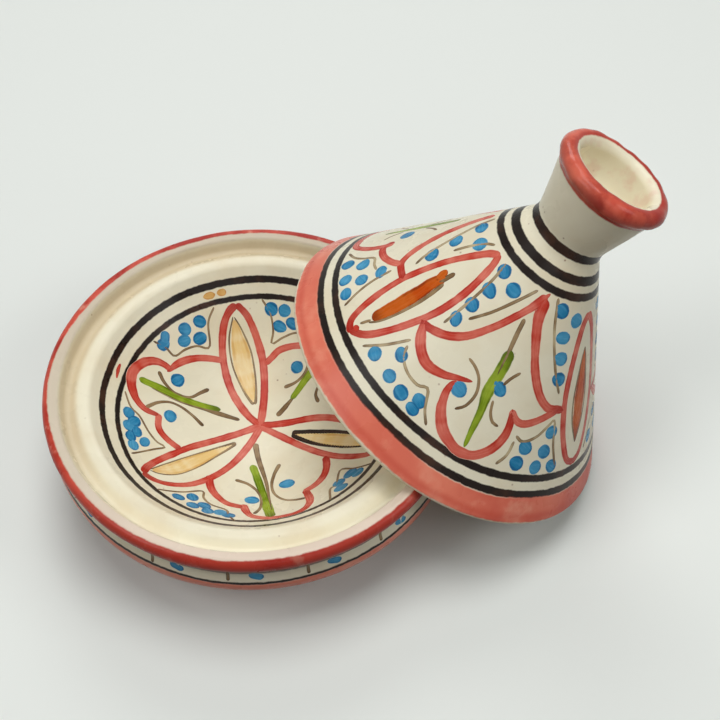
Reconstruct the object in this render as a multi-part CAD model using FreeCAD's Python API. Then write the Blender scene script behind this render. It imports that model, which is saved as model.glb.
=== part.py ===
import FreeCAD, Part
import math
import os

# A small glazed earthenware cooking pot: a round dish and a cone-shaped lid that leans on it.
# Sizes are in millimetres. The dish stands on z = 0 with its axis on Z.
# The lid leans towards +X: its low edge is on the table and its raised edge is over the dish.

# Lid sizes
lid_rim_radius = 64.6
lid_wall = 6.5
lid_edge_round = 1.4
cone_angle = 34.8
lid_hollow_height = 62.0
neck_round = 8.0
knob_flare_angle = 17.5
knob_radius = 20.6
knob_lip_round = 2.9
lid_height = 105.2
knob_cup_depth = 21.0

# Dish sizes
dish_height = 43.8
lip_round = 2.9
lid_seat_clearance = 4.6
seat_drop = 2.8
seat_inset = 2.3
seat_round = 5.0
seat_groove_round = 3.4
bowl_depth = 32.8
under_lip_cut = 2.1
under_lip_round = 6.0
belly_set_back = 0.6
belly_round = 7.5
foot_radius = 42.0
foot_height = 4.0
foot_edge_round = 1.0

# Pose of the lid
lean_angle = 30.0
leaning_gap = 0.3

# Places that follow from the sizes
rim_radius = lid_rim_radius + lid_seat_clearance + 2 * lip_round
lip_centre_radius = rim_radius - lip_round
lip_centre_height = dish_height - lip_round
bowl_floor = dish_height - bowl_depth
seat_height = dish_height - seat_drop
seat_centre_height = seat_height - seat_round
seat_centre_radius = lid_rim_radius - seat_inset
seat_rise = seat_centre_height - bowl_floor
bowl_span = seat_centre_radius ** 2 + seat_rise ** 2 - seat_round ** 2
bowl_radius = bowl_span / (2 * (seat_rise + seat_round))
bowl_centre_height = bowl_floor + bowl_radius


def point(radius, height):
    """A point of a section, drawn in the XZ plane."""
    return FreeCAD.Vector(radius, 0, height)


def toward(start, end, distance):
    """The point that lies a given distance from start in the direction of end."""
    return start + (end - start).normalize() * distance


def arc(start, centre, radius, end):
    """The shorter arc round centre from start to end."""
    middle = toward(centre, (start + end) * 0.5, radius)
    return Part.Arc(start, middle, end).toShape()


def line(start, end):
    return Part.LineSegment(start, end).toShape()


def turned(edges):
    """The solid of revolution of a closed section round the Z axis."""
    face = Part.Face(Part.Wire(edges))
    return face.revolve(FreeCAD.Vector(0, 0, 0), FreeCAD.Vector(0, 0, 1), 360)


# Dish, inside: spherical bowl, rounded seat for the lid, groove and rolled lip
axis_floor = point(0, bowl_floor)
bowl_centre = point(0, bowl_centre_height)
seat_centre = point(seat_centre_radius, seat_centre_height)
lip_centre = point(lip_centre_radius, lip_centre_height)
bowl_edge = toward(bowl_centre, seat_centre, bowl_radius)

lip_to_groove = lip_round + seat_groove_round
seat_to_groove = seat_round + seat_groove_round
lip_to_seat = (seat_centre - lip_centre).Length
groove_along = (lip_to_groove ** 2 - seat_to_groove ** 2 + lip_to_seat ** 2) / (2 * lip_to_seat)
groove_across = math.sqrt(lip_to_groove ** 2 - groove_along ** 2)
seat_way = (seat_centre - lip_centre).normalize()
groove_way = FreeCAD.Vector(seat_way.z, 0, -seat_way.x)
groove_centre = lip_centre + seat_way * groove_along + groove_way * groove_across
groove_inner = toward(seat_centre, groove_centre, seat_round)
groove_outer = toward(lip_centre, groove_centre, lip_round)

# Dish, outside: cove below the lip, rounded belly, straight lower wall and flat foot
lip_top = point(lip_centre_radius, dish_height)
cove_radius = rim_radius - under_lip_cut + under_lip_round
cove_out = cove_radius - lip_centre_radius
cove_drop = math.sqrt((lip_round + under_lip_round) ** 2 - cove_out ** 2)
cove_centre = point(cove_radius, lip_centre_height - cove_drop)
cove_top = toward(lip_centre, cove_centre, lip_round)
belly_centre_radius = rim_radius - belly_set_back - belly_round
belly_out = cove_radius - belly_centre_radius
belly_drop = math.sqrt((belly_round + under_lip_round) ** 2 - belly_out ** 2)
belly_centre = point(belly_centre_radius, cove_centre.z - belly_drop)
cove_bottom = toward(belly_centre, cove_centre, belly_round)
foot_top = point(foot_radius, foot_height)
foot_way = foot_top - belly_centre
wall_turn = math.atan2(foot_way.z, foot_way.x) + math.acos(belly_round / foot_way.Length)
belly_low = belly_centre + FreeCAD.Vector(math.cos(wall_turn), 0, math.sin(wall_turn)) * belly_round
foot_round_centre = point(foot_radius - foot_edge_round, foot_edge_round)
foot_side = point(foot_radius, foot_edge_round)
foot_under = point(foot_radius - foot_edge_round, 0)

dish_section = [
    line(point(0, 0), foot_under),
    arc(foot_under, foot_round_centre, foot_edge_round, foot_side),
    line(foot_side, foot_top),
    line(foot_top, belly_low),
    arc(belly_low, belly_centre, belly_round, cove_bottom),
    arc(cove_bottom, cove_centre, under_lip_round, cove_top),
    arc(cove_top, lip_centre, lip_round, lip_top),
    arc(lip_top, lip_centre, lip_round, groove_outer),
    arc(groove_outer, groove_centre, seat_groove_round, groove_inner),
    arc(groove_inner, seat_centre, seat_round, bowl_edge),
    arc(bowl_edge, bowl_centre, bowl_radius, axis_floor),
    line(axis_floor, point(0, 0)),
]
base_dish = turned(dish_section)

# Lid, outside: straight cone, narrow neck, flared knob and its rolled lip
cone = math.radians(cone_angle)
flare = math.radians(knob_flare_angle)
cone_up = FreeCAD.Vector(-math.sin(cone), 0, math.cos(cone))
cone_out = FreeCAD.Vector(math.cos(cone), 0, math.sin(cone))
flare_up = FreeCAD.Vector(math.sin(flare), 0, math.cos(flare))
flare_out = FreeCAD.Vector(math.cos(flare), 0, -math.sin(flare))
outer_corner = point(lid_rim_radius - lid_edge_round, lid_edge_round)
wall_foot = outer_corner + cone_out * lid_edge_round
knob_lip_centre = point(knob_radius - knob_lip_round, lid_height - knob_lip_round)
flare_top = knob_lip_centre + flare_out * knob_lip_round

# The neck's circle touches the cone's line and the knob's line from outside
cone_side = wall_foot + cone_out * neck_round
flare_side = flare_top + flare_out * neck_round
gap_way = flare_side - cone_side
turn = cone_up.x * flare_up.z - cone_up.z * flare_up.x
cone_length = (gap_way.x * flare_up.z - gap_way.z * flare_up.x) / turn
neck_centre = cone_side + cone_up * cone_length
neck_low = neck_centre - cone_out * neck_round
neck_high = neck_centre - flare_out * neck_round

# Lid, inside: the cup of the knob, and the hollow under the cone
cup_floor = lid_height - knob_cup_depth
cup_drop = knob_lip_centre.z - cup_floor
cup_span = cup_drop ** 2 + knob_lip_centre.x ** 2 - knob_lip_round ** 2
cup_radius = cup_span / (2 * (cup_drop + knob_lip_round))
cup_centre = point(0, cup_floor + cup_radius)
cup_edge = toward(cup_centre, knob_lip_centre, cup_radius)
knob_top = point(knob_lip_centre.x, lid_height)
edge_to_edge = (lid_wall - 2 * lid_edge_round) / math.cos(cone)
inner_corner = outer_corner - FreeCAD.Vector(edge_to_edge, 0, 0)
hollow_foot = inner_corner - cone_out * lid_edge_round
hollow_top = point(0, lid_hollow_height)
dome_reach = hollow_foot.x * math.cos(cone) - (lid_hollow_height - hollow_foot.z) * math.sin(cone)
dome_radius = dome_reach / (1 - math.sin(cone))
dome_centre = point(0, lid_hollow_height - dome_radius)
dome_side = dome_centre + cone_out * dome_radius
inner_under = point(inner_corner.x, 0)
outer_under = point(outer_corner.x, 0)

lid_section = [
    line(inner_under, outer_under),
    arc(outer_under, outer_corner, lid_edge_round, wall_foot),
    line(wall_foot, neck_low),
    arc(neck_low, neck_centre, neck_round, neck_high),
    line(neck_high, flare_top),
    arc(flare_top, knob_lip_centre, knob_lip_round, knob_top),
    arc(knob_top, knob_lip_centre, knob_lip_round, cup_edge),
    arc(cup_edge, cup_centre, cup_radius, point(0, cup_floor)),
    line(point(0, cup_floor), hollow_top),
    arc(hollow_top, dome_centre, dome_radius, dome_side),
    line(dome_side, hollow_foot),
    arc(hollow_foot, inner_corner, lid_edge_round, inner_under),
]
conical_lid = turned(lid_section)

# Leaning pose: the low edge touches the table, the inner edge comes to rest on the dish's lip
lean = math.radians(lean_angle)
lid_centre_height = outer_corner.x * math.sin(lean) - outer_corner.z * math.cos(lean) + lid_edge_round


def distance_to_wall(radius, height):
    """Distance from a point in the lid's hollow or below it to the lid's wall near its edge."""
    across = radius - inner_corner.x
    up = height - inner_corner.z
    along_wall = max(0.0, across * cone_up.x + up * cone_up.z)
    to_inside = math.hypot(across - along_wall * cone_up.x, up - along_wall * cone_up.z)
    along_edge = min(max(0.0, across), edge_to_edge)
    to_underside = math.hypot(across - along_edge, up)
    return min(to_inside, to_underside) - lid_edge_round


def room_at(lid_centre_distance):
    """Smallest room between the dish's lip and the lid's wall with the lid at this distance."""
    smallest = rim_radius
    steps = 720
    for step in range(steps + 1):
        angle = math.pi * step / steps
        out = lip_centre_radius * math.cos(angle) - lid_centre_distance
        side = lip_centre_radius * math.sin(angle)
        above = lip_centre_height - lid_centre_height
        down_slope = out * math.cos(lean) - above * math.sin(lean)
        height = out * math.sin(lean) + above * math.cos(lean)
        room = distance_to_wall(math.hypot(down_slope, side), height) - lip_round
        smallest = min(smallest, room)
    return smallest


clear_distance = rim_radius + lid_rim_radius
while room_at(clear_distance - 1.0) >= leaning_gap:
    clear_distance -= 1.0
tight_distance = clear_distance - 1.0
while clear_distance - tight_distance > 0.001:
    middle_distance = 0.5 * (clear_distance + tight_distance)
    if room_at(middle_distance) >= leaning_gap:
        clear_distance = middle_distance
    else:
        tight_distance = middle_distance
lid_centre_distance = clear_distance

pose = FreeCAD.Placement(
    FreeCAD.Vector(lid_centre_distance, 0, lid_centre_height),
    FreeCAD.Rotation(FreeCAD.Vector(0, 1, 0), lean_angle),
)
conical_lid.Placement = pose

os.makedirs("parts", exist_ok=True)
base_dish.exportStep("parts/base_dish.step")
conical_lid.exportStep("parts/conical_lid.step")
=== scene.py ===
import math

import bmesh
import bpy
from mathutils import Matrix, Vector, noise


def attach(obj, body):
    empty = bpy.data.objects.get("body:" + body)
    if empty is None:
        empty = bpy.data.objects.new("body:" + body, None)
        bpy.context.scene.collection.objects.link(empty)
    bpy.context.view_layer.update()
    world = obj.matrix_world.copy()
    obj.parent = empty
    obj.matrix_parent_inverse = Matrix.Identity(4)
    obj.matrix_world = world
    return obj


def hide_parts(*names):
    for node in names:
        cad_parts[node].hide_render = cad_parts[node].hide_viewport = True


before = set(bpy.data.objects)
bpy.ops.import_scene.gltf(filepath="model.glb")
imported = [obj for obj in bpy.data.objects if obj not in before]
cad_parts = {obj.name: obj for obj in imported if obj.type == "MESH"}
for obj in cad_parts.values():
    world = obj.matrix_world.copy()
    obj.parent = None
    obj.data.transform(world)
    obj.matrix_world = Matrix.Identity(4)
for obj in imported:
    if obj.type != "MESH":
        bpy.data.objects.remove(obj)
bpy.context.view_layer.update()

# ---------------------------------------------------------------------------------------------
# The dish. One piece of earthenware thrown on a wheel: a bowl with a rounded seat and a groove
# for the lid, a rolled lip, a cove below it and a flat turned foot.
# It is dipped in warm white glaze, and lip, belly and rings are laid on with a brush while it turns.
# ---------------------------------------------------------------------------------------------
MILLIMETRE = 0.001
BOWL_CENTRE = (0.0, 85.6)
BOWL_RADIUS = 74.6
BOWL_FLOOR = (0.0, 11.0)
DISH_OVAL = -0.01366
DISH_OVAL_TURN = math.radians(20.60)
STRAIGHT = None
COVE_CENTRE = (78.9, 35.158)
THROW_STEPS = 176

# Each cut is the centre of its round, or straight, where it ends, and its number of steps
DISH_CUTS = [
    (BOWL_CENTRE, (58.43, 39.23), 44),
    ((60.47, 37.616), (60.47, 40.216), 8),
    (STRAIGHT, (61.5, 40.17), 2),
    ((61.5, 36.57), (63.513, 39.555), 6),
    (STRAIGHT, (65.1, 38.485), 3),
    ((66.106, 39.977), (67.775, 39.303), 12),
    (STRAIGHT, (68.95, 42.455), 5),
    ((70.164, 41.989), (69.85, 43.25), 8),
    (STRAIGHT, (72.1, 43.8), 4),
    ((72.1, 40.9), (74.316, 39.029), 14),
    (COVE_CENTRE, (73.567, 32.409), 10),
    ((66.9, 28.973), (70.963, 22.67), 12),
    (STRAIGHT, (42.0, 4.0), 8),
    (STRAIGHT, (42.0, 1.0), 2),
    ((41.0, 1.0), (41.0, 0.0), 4),
    (STRAIGHT, (0.0, 0.0), 4),
]


def cut_section(bm, start, cuts):
    """The potter's section, drawn from start in the XZ plane. Every point keeps its run along it."""
    run_layer = bm.verts.layers.float.new("run")
    tip = bm.verts.new((start[0], 0.0, start[1]))
    for centre, end, steps in cuts:
        goal = Vector((end[0], 0.0, end[1]))
        if centre is STRAIGHT:
            step = (goal - tip.co) / steps
            for _ in range(steps):
                tip = bmesh.ops.extrude_vert_indiv(bm, verts=[tip])["verts"][0]
                bmesh.ops.translate(bm, verts=[tip], vec=step)
        else:
            middle = Vector((centre[0], 0.0, centre[1]))
            from_angle = math.atan2(tip.co.z - middle.z, tip.co.x - middle.x)
            to_angle = math.atan2(goal.z - middle.z, goal.x - middle.x)
            turn = (to_angle - from_angle + math.pi) % (2 * math.pi) - math.pi
            swept = bmesh.ops.spin(
                bm, geom=[tip], cent=middle, axis=(0, -1, 0), angle=turn, steps=steps
            )
            tip = swept["geom_last"][0]
        tip.co = goal
    run = 0.0
    last = bm.verts[:][0].co.copy()
    for vert in bm.verts:
        run += (vert.co - last).length
        vert[run_layer] = run
        last = vert.co.copy()
    return run_layer


def throw(bm):
    """Turns the section into a closed pot round the Z axis."""
    same_place = 0.0005
    bmesh.ops.spin(
        bm,
        geom=bm.verts[:] + bm.edges[:],
        cent=(0, 0, 0),
        axis=(0, 0, 1),
        angle=2 * math.pi,
        steps=THROW_STEPS,
        use_merge=True,
    )
    bmesh.ops.remove_doubles(bm, verts=bm.verts[:], dist=same_place)
    bmesh.ops.recalc_face_normals(bm, faces=bm.faces[:])


def press_oval(bm, oval, turn):
    """A hand-thrown pot is a little out of round."""
    for vert in bm.verts:
        stretch = 1 + oval * math.cos(2 * (math.atan2(vert.co.y, vert.co.x) - turn))
        vert.co.x *= stretch
        vert.co.y *= stretch


PULL_TURN = math.radians(120.0)
PULL_OUT = 1.1
PULL_UP = 0.5


def pull_rim(bm, share_of):
    """The wet rim was pulled out and up a little on its far side."""
    for vert in bm.verts:
        turn = math.atan2(vert.co.y, vert.co.x)
        pull = share_of(vert) * max(0.0, math.cos(turn - PULL_TURN))
        vert.co.x += PULL_OUT * pull * math.cos(turn)
        vert.co.y += PULL_OUT * pull * math.sin(turn)
        vert.co.z += PULL_UP * pull


def fired(name, bm, material, body):
    """The finished mesh in metres as an object that rides on its body."""
    bmesh.ops.scale(bm, verts=bm.verts[:], vec=(MILLIMETRE, MILLIMETRE, MILLIMETRE))
    mesh = bpy.data.meshes.new(name)
    bm.to_mesh(mesh)
    bm.free()
    mesh.shade_smooth()
    mesh.materials.append(material)
    piece = bpy.data.objects.new(name, mesh)
    bpy.context.scene.collection.objects.link(piece)
    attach(piece, body)
    return piece


dish_bm = bmesh.new()
dish_run = cut_section(dish_bm, BOWL_FLOOR, DISH_CUTS)
throw(dish_bm)

# The lip isn't quite level, and fingers left it slightly lumpy
LIP_FROM, LIP_TO = 79.5, 99.5
LIP_SWAY, LIP_SWAY_SCALE = 0.22, 0.035
LIP_LUMP, LIP_LUMP_SCALE = 0.10, 0.16
for vert in dish_bm.verts:
    if LIP_FROM < vert[dish_run] < LIP_TO:
        share = math.sin(math.pi * (vert[dish_run] - LIP_FROM) / (LIP_TO - LIP_FROM))
        vert.co.z += LIP_SWAY * share * noise.noise(vert.co * LIP_SWAY_SCALE)
        vert.co += vert.normal * LIP_LUMP * share * noise.noise(vert.co * LIP_LUMP_SCALE)
press_oval(dish_bm, DISH_OVAL, DISH_OVAL_TURN)
RIM_STARTS, RIM_FULL, RIM_FADES, RIM_ENDS = 64.0, 77.0, 101.5, 141.5


def rim_share(vert):
    """How much of the rim's pull reaches a place on the section."""
    along = vert[dish_run]
    grown = min(1.0, max(0.0, (along - RIM_STARTS) / (RIM_FULL - RIM_STARTS)))
    gone = min(1.0, max(0.0, (along - RIM_FADES) / (RIM_ENDS - RIM_FADES)))
    return grown * grown * (3 - 2 * grown) * (1 - gone)


pull_rim(dish_bm, rim_share)


def colour(red, green, blue):
    """A colour as it is seen on the pot, as the numbers that light is mixed with."""
    tones = []
    for value in (red, green, blue):
        tone = value / 255
        tones.append(tone / 12.92 if tone <= 0.04045 else ((tone + 0.055) / 1.055) ** 2.4)
    return (*tones, 1.0)


class Glaze:
    """The nodes of one glaze, with a few short ways to add to them."""

    def __init__(self, name):
        self.material = bpy.data.materials.new(name)
        self.material.use_nodes = True
        self.tree = self.material.node_tree
        self.shader = self.tree.nodes["Principled BSDF"]
        self.place = self.node("ShaderNodeTexCoord").outputs["Object"]

    def node(self, kind, **settings):
        made = self.tree.nodes.new(kind)
        for key, value in settings.items():
            setattr(made, key, value)
        return made

    def put(self, socket, value):
        if isinstance(value, bpy.types.NodeSocket):
            self.tree.links.new(value, socket)
        else:
            socket.default_value = value

    def parts(self, vector):
        made = self.node("ShaderNodeSeparateXYZ")
        self.put(made.inputs[0], vector)
        return made.outputs

    def attribute(self, name, output="Fac"):
        return self.node("ShaderNodeAttribute", attribute_name=name).outputs[output]

    def math(self, operation, first, second=0.0):
        made = self.node("ShaderNodeMath", operation=operation)
        self.put(made.inputs[0], first)
        self.put(made.inputs[1], second)
        return made.outputs[0]

    def stretched(self, vector, scale):
        made = self.node("ShaderNodeMapping")
        self.put(made.inputs["Vector"], vector)
        made.inputs["Scale"].default_value = scale
        return made.outputs[0]

    def grain(self, scale, detail=3.0, vector=None, roughness=0.55):
        made = self.node("ShaderNodeTexNoise")
        self.put(made.inputs["Vector"], vector or self.place)
        made.inputs["Scale"].default_value = scale
        made.inputs["Detail"].default_value = detail
        made.inputs["Roughness"].default_value = roughness
        return made.outputs["Fac"]

    def ramp(self, value, low, high, to_low=0.0, to_high=1.0):
        made = self.node("ShaderNodeMapRange", interpolation_type="SMOOTHSTEP")
        self.put(made.inputs["Value"], value)
        made.inputs["From Min"].default_value = low
        made.inputs["From Max"].default_value = high
        made.inputs["To Min"].default_value = to_low
        made.inputs["To Max"].default_value = to_high
        return made.outputs["Result"]

    def band(self, run, start, end, soft=0.25):
        rise = self.ramp(run, start - soft, start + soft)
        fall = self.ramp(run, end - soft, end + soft, 1.0, 0.0)
        return self.math("MULTIPLY", rise, fall)

    def mix(self, share, first, second):
        made = self.node("ShaderNodeMix", data_type="RGBA")
        self.put(made.inputs["Factor"], share)
        self.put(made.inputs["A"], first)
        self.put(made.inputs["B"], second)
        return made.outputs["Result"]

    def bump(self, height, distance, strength=1.0):
        made = self.node("ShaderNodeBump")
        made.inputs["Strength"].default_value = strength
        made.inputs["Distance"].default_value = distance
        self.put(made.inputs["Height"], height)
        return made.outputs["Normal"]


CREAM = colour(241, 234, 208)
CREAM_WARM = colour(229, 213, 178)
BARE_CLAY = colour(176, 112, 82)
LINE_BLACK = colour(26, 14, 9)
LINE_BROWN = colour(84, 50, 32)
RIM_RED = colour(208, 80, 62)
RIM_DEEP = colour(172, 40, 28)
RIM_WORN = colour(226, 150, 126)
CORAL = colour(237, 131, 105)
CORAL_PALE = colour(240, 164, 138)
PINHOLE = colour(150, 112, 78)


def cream_glaze(glaze):
    """Warm white glaze that pools a little darker, with a few pinholes."""
    pooled = glaze.ramp(glaze.grain(38.0, 4.0), 0.42, 0.75)
    base = glaze.mix(glaze.math("MULTIPLY", pooled, 0.55), CREAM, CREAM_WARM)
    pits = glaze.node("ShaderNodeTexVoronoi", feature="F1")
    glaze.put(pits.inputs["Vector"], glaze.place)
    pits.inputs["Scale"].default_value = 260.0
    holes = glaze.ramp(pits.outputs["Distance"], 0.05, 0.14, 1.0, 0.0)
    patches = glaze.ramp(glaze.grain(55.0, 2.0), 0.56, 0.66)
    pinholes = glaze.math("MULTIPLY", holes, patches)
    return glaze.mix(glaze.math("MULTIPLY", pinholes, 0.7), base, PINHOLE)


def brushed_line(glaze, run, start, end, soft=0.22):
    """A line that the brush lays on while the pot turns: uneven edges and lighter passes."""
    cover = glaze.band(run, start, end, soft)
    lift = glaze.ramp(glaze.grain(70.0, 5.0), 0.5, 0.72)
    tone = glaze.mix(glaze.math("MULTIPLY", lift, 0.55), LINE_BLACK, LINE_BROWN)
    return cover, tone


def uneven(glaze, run, slow, fine):
    """The run with the unsteadiness of a hand, in millimetres."""
    sway = glaze.math("MULTIPLY", glaze.math("SUBTRACT", glaze.grain(24.0, 1.0), 0.5), slow)
    fray = glaze.math("MULTIPLY", glaze.math("SUBTRACT", glaze.grain(420.0, 2.0), 0.5), fine)
    return glaze.math("ADD", run, glaze.math("ADD", sway, fray))


def finish_glaze(glaze, look, shine=None):
    """The fired surface: a satin gloss with soft dull places and a faint unevenness."""
    dull = glaze.ramp(glaze.grain(90.0, 3.0), 0.3, 0.7, 0.22, 0.36)
    if shine is not None:
        dull = glaze.math("SUBTRACT", dull, shine)
    glaze.put(glaze.shader.inputs["Base Color"], look)
    glaze.put(glaze.shader.inputs["Roughness"], dull)
    glaze.put(glaze.shader.inputs["Normal"], glaze.bump(glaze.grain(75.0, 2.0), 0.0006, 0.35))
    glaze.shader.inputs["Specular IOR Level"].default_value = 0.18


# Where each colour starts and ends on the dish, as the run along its section from the bowl's
# middle. A pair is the two edges of a band, or the width over which one edge comes in.
BOWL_RINGS = ((54.3, 56.5), (60.7, 63.5))
# The groove band and its tone are painted shade, not glaze
GROOVE_SHADE_BAND = (72.6, 80.8)
LIP_CREAM_IN = (80.8, 82.4)
LIP_RED_IN = (85.09, 85.79)
LIP_RED_OUT = (93.89, 94.69)
LIP_PAINTED_SHADOW = (93.89, 95.29)
COVE_CREAM = (95.49, 99.29)
COVE_LINE = (99.19, 100.29)
BELLY_CORAL_IN = (100.09, 100.59)
FOOT_CLAY_IN = (149.8, 151.3)
GROOVE_SHADE_TONE = colour(208, 188, 152)
LIP_CREAM_SHADED_FAR = colour(209, 195, 173)
LIP_CREAM_NEAR = colour(226, 207, 188)
LIP_RED_SHADED_NEAR = colour(150, 28, 18)

dish_glaze = Glaze("dish_glaze_look")
g = dish_glaze
run = uneven(g, g.attribute("run"), 1.6, 0.7)
cream = cream_glaze(g)
look = cream
sides = g.parts(g.place)
far = g.ramp(sides["Y"], 0.018, 0.052)
near = g.ramp(sides["Y"], -0.062, -0.024, 1.0, 0.0)
ring_run = g.math("SUBTRACT", run, g.math("MULTIPLY", far, 0.7))
for ring_start, ring_end in BOWL_RINGS:
    cover, tone = brushed_line(g, ring_run, ring_start, ring_end)
    look = g.mix(cover, look, tone)
worn = g.ramp(g.grain(150.0, 5.0), 0.56, 0.70)
deep = g.ramp(g.grain(46.0, 3.0), 0.45, 0.62)
red = g.mix(g.math("MULTIPLY", worn, 0.7), g.mix(deep, RIM_RED, RIM_DEEP), RIM_WORN)
rubbed = g.ramp(sides["X"], -0.074, -0.035, -0.2, 0.0)
lip_run = g.math("ADD", g.math("SUBTRACT", run, rubbed), g.math("MULTIPLY", far, 1.3))
# Painted shade: the groove beside the lip is darkened, more on the far side, where its wall is in shade
far_groove_shade_share = g.ramp(sides["Y"], -0.048, -0.004, 0.0, 0.7)
pooled = g.math("MULTIPLY", g.band(run, *GROOVE_SHADE_BAND, 1.4), far_groove_shade_share)
look = g.mix(pooled, look, GROOVE_SHADE_TONE)
# The lip top is a pinkish cream; it is painted darker everywhere but on the near side, as painted shade
lip_tone = g.mix(near, LIP_CREAM_SHADED_FAR, LIP_CREAM_NEAR)
look = g.mix(g.ramp(run, *LIP_CREAM_IN, 0.0, 0.95), look, lip_tone)
# Painted shade: the red lip is deeper on the near side, where its outer face is in shade
red = g.mix(g.math("MULTIPLY", near, 0.55), red, LIP_RED_SHADED_NEAR)
red_cover = g.math("MULTIPLY", g.ramp(lip_run, *LIP_RED_IN), g.ramp(run, *LIP_RED_OUT, 1.0, 0.0))
look = g.mix(red_cover, look, red)
# Painted shadow: a brown line just under the red lip, where the rolled lip casts shade
look = g.mix(g.math("MULTIPLY", g.band(run, *LIP_PAINTED_SHADOW, 0.5), 0.85), look, LINE_BROWN)
look = g.mix(g.band(run, *COVE_CREAM, 0.4), look, cream)
cover, tone = brushed_line(g, run, *COVE_LINE)
look = g.mix(cover, look, tone)
streaks = g.grain(1.0, 4.0, g.stretched(g.place, (60.0, 60.0, 700.0)))
coral = g.mix(g.ramp(streaks, 0.4, 0.72), CORAL, CORAL_PALE)
look = g.mix(g.ramp(run, *BELLY_CORAL_IN), look, coral)
clay = g.mix(g.grain(300.0), BARE_CLAY, CORAL)
look = g.mix(g.ramp(g.attribute("run"), *FOOT_CLAY_IN), look, clay)
finish_glaze(g, look)

dish = fired("dish_body", dish_bm, dish_glaze.material, "dish")
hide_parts("base_dish")

# ---------------------------------------------------------------------------------------------
# The painting in the bowl: three red petals with ochre hearts, three red arches with a green leaf,
# brown tendrils and blue dabs, and dabbed corners between them.
# It is put on by hand with a round brush in thin coloured slips that melt into the glaze.
# ---------------------------------------------------------------------------------------------
PAINT_HEIGHT = 0.035
PAINT_ROOT = -0.20
BRUSH_STEP = 1.2
PAINT_EDGE = math.radians(30)


def smooth_path(points):
    """A flowing line through the points, as the hand moves between them."""
    spots = [Vector(p) for p in points]
    if len(spots) == 2:
        spots = [spots[0], (spots[0] + spots[1]) / 2, spots[1]]
    ends = [2 * spots[0] - spots[1]] + spots + [2 * spots[-1] - spots[-2]]
    path = []
    for i in range(1, len(ends) - 2):
        before, start, stop, after = ends[i - 1 : i + 3]
        pieces = max(3, int((stop - start).length / 0.6))
        for k in range(pieces):
            t = k / pieces
            bend = 2 * before - 5 * start + 4 * stop - after
            twist = 3 * start - before - 3 * stop + after
            path.append(0.5 * (2 * start + (stop - before) * t + bend * t * t + twist * t ** 3))
    path.append(spots[-1])
    return path


def brush(bm, points, width, seed, tip=None, wobble=0.12):
    """One stroke on the flat chart, in millimetres: a thin crowned strip with rounded ends.
    The width is one number, or one for each point. Every vertex keeps its place in the stroke."""
    layer = bm.verts.layers.float_vector.get("brush") or bm.verts.layers.float_vector.new("brush")
    lift = bm.verts.layers.float.get("lift") or bm.verts.layers.float.new("lift")
    path = smooth_path(points)
    walked = [0.0]
    for here, there in zip(path, path[1:]):
        walked.append(walked[-1] + (there - here).length)
    length = walked[-1]
    widest = max(width) if isinstance(width, (list, tuple)) else width
    tip = min(tip or widest / 2, length / 2)
    inner = max(1, int((length - 2 * tip) / BRUSH_STEP))
    rounding = [tip * (1 - math.cos(math.pi * k / 8)) for k in range(4)]
    stops = rounding + [tip + (length - 2 * tip) * k / inner for k in range(inner + 1)]
    stops += [length - d for d in reversed(rounding)]
    strip = bmesh.ops.create_grid(bm, x_segments=len(stops) - 1, y_segments=4, size=1.0)
    for vert in strip["verts"]:
        stop = stops[round((vert.co.x + 1) / 2 * (len(stops) - 1))]
        across = vert.co.y
        k = 0
        while k < len(walked) - 2 and walked[k + 1] < stop:
            k += 1
        share = (stop - walked[k]) / max(walked[k + 1] - walked[k], 1e-6)
        middle = path[k].lerp(path[k + 1], share)
        along = (path[min(k + 2, len(path) - 1)] - path[max(k - 1, 0)]).normalized()
        wide = width
        if isinstance(width, (list, tuple)):
            place = stop / length * (len(width) - 1)
            low = min(int(place), len(width) - 2)
            wide = width[low] + (width[low + 1] - width[low]) * (place - low)
        wide *= 1 + wobble * noise.noise((stop * 0.22, seed * 3.7, 0.5))
        near_end = min(stop, length - stop)
        if near_end < tip:
            wide *= max(0.16, math.sqrt(1 - (1 - near_end / tip) ** 2))
        fray = 0.025 * wide * noise.noise((stop * 0.9, across * 5.0, seed * 1.3))
        offset = across * wide / 2 + fray
        crown = PAINT_HEIGHT * (1 - 0.4 * across ** 2)
        vert.co = (middle.x - along.y * offset, middle.y + along.x * offset, crown)
        vert[layer] = (stop, across, seed)
        vert[lift] = stop / length


def thicken(bm):
    """Gives the strips an underside below the glaze, so that each one is a closed piece."""
    grown = bmesh.ops.extrude_face_region(bm, geom=bm.faces[:], use_keep_orig=True)
    for item in grown["geom"]:
        if isinstance(item, bmesh.types.BMVert):
            item.co.z = PAINT_ROOT
    bmesh.ops.recalc_face_normals(bm, faces=bm.faces[:])


def lay_in_bowl(bm):
    """Lays the flat chart into the bowl: distance from the middle becomes the way up its side."""
    for vert in bm.verts:
        height = vert.co.z
        turn = math.atan2(vert.co.y, vert.co.x)
        climb = math.hypot(vert.co.x, vert.co.y) / BOWL_RADIUS
        reach = (BOWL_RADIUS - height) * math.sin(climb)
        vert.co.x = reach * math.cos(turn)
        vert.co.y = reach * math.sin(turn)
        vert.co.z = BOWL_CENTRE[1] - (BOWL_RADIUS - height) * math.cos(climb)
    press_oval(bm, DISH_OVAL, DISH_OVAL_TURN)


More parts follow.
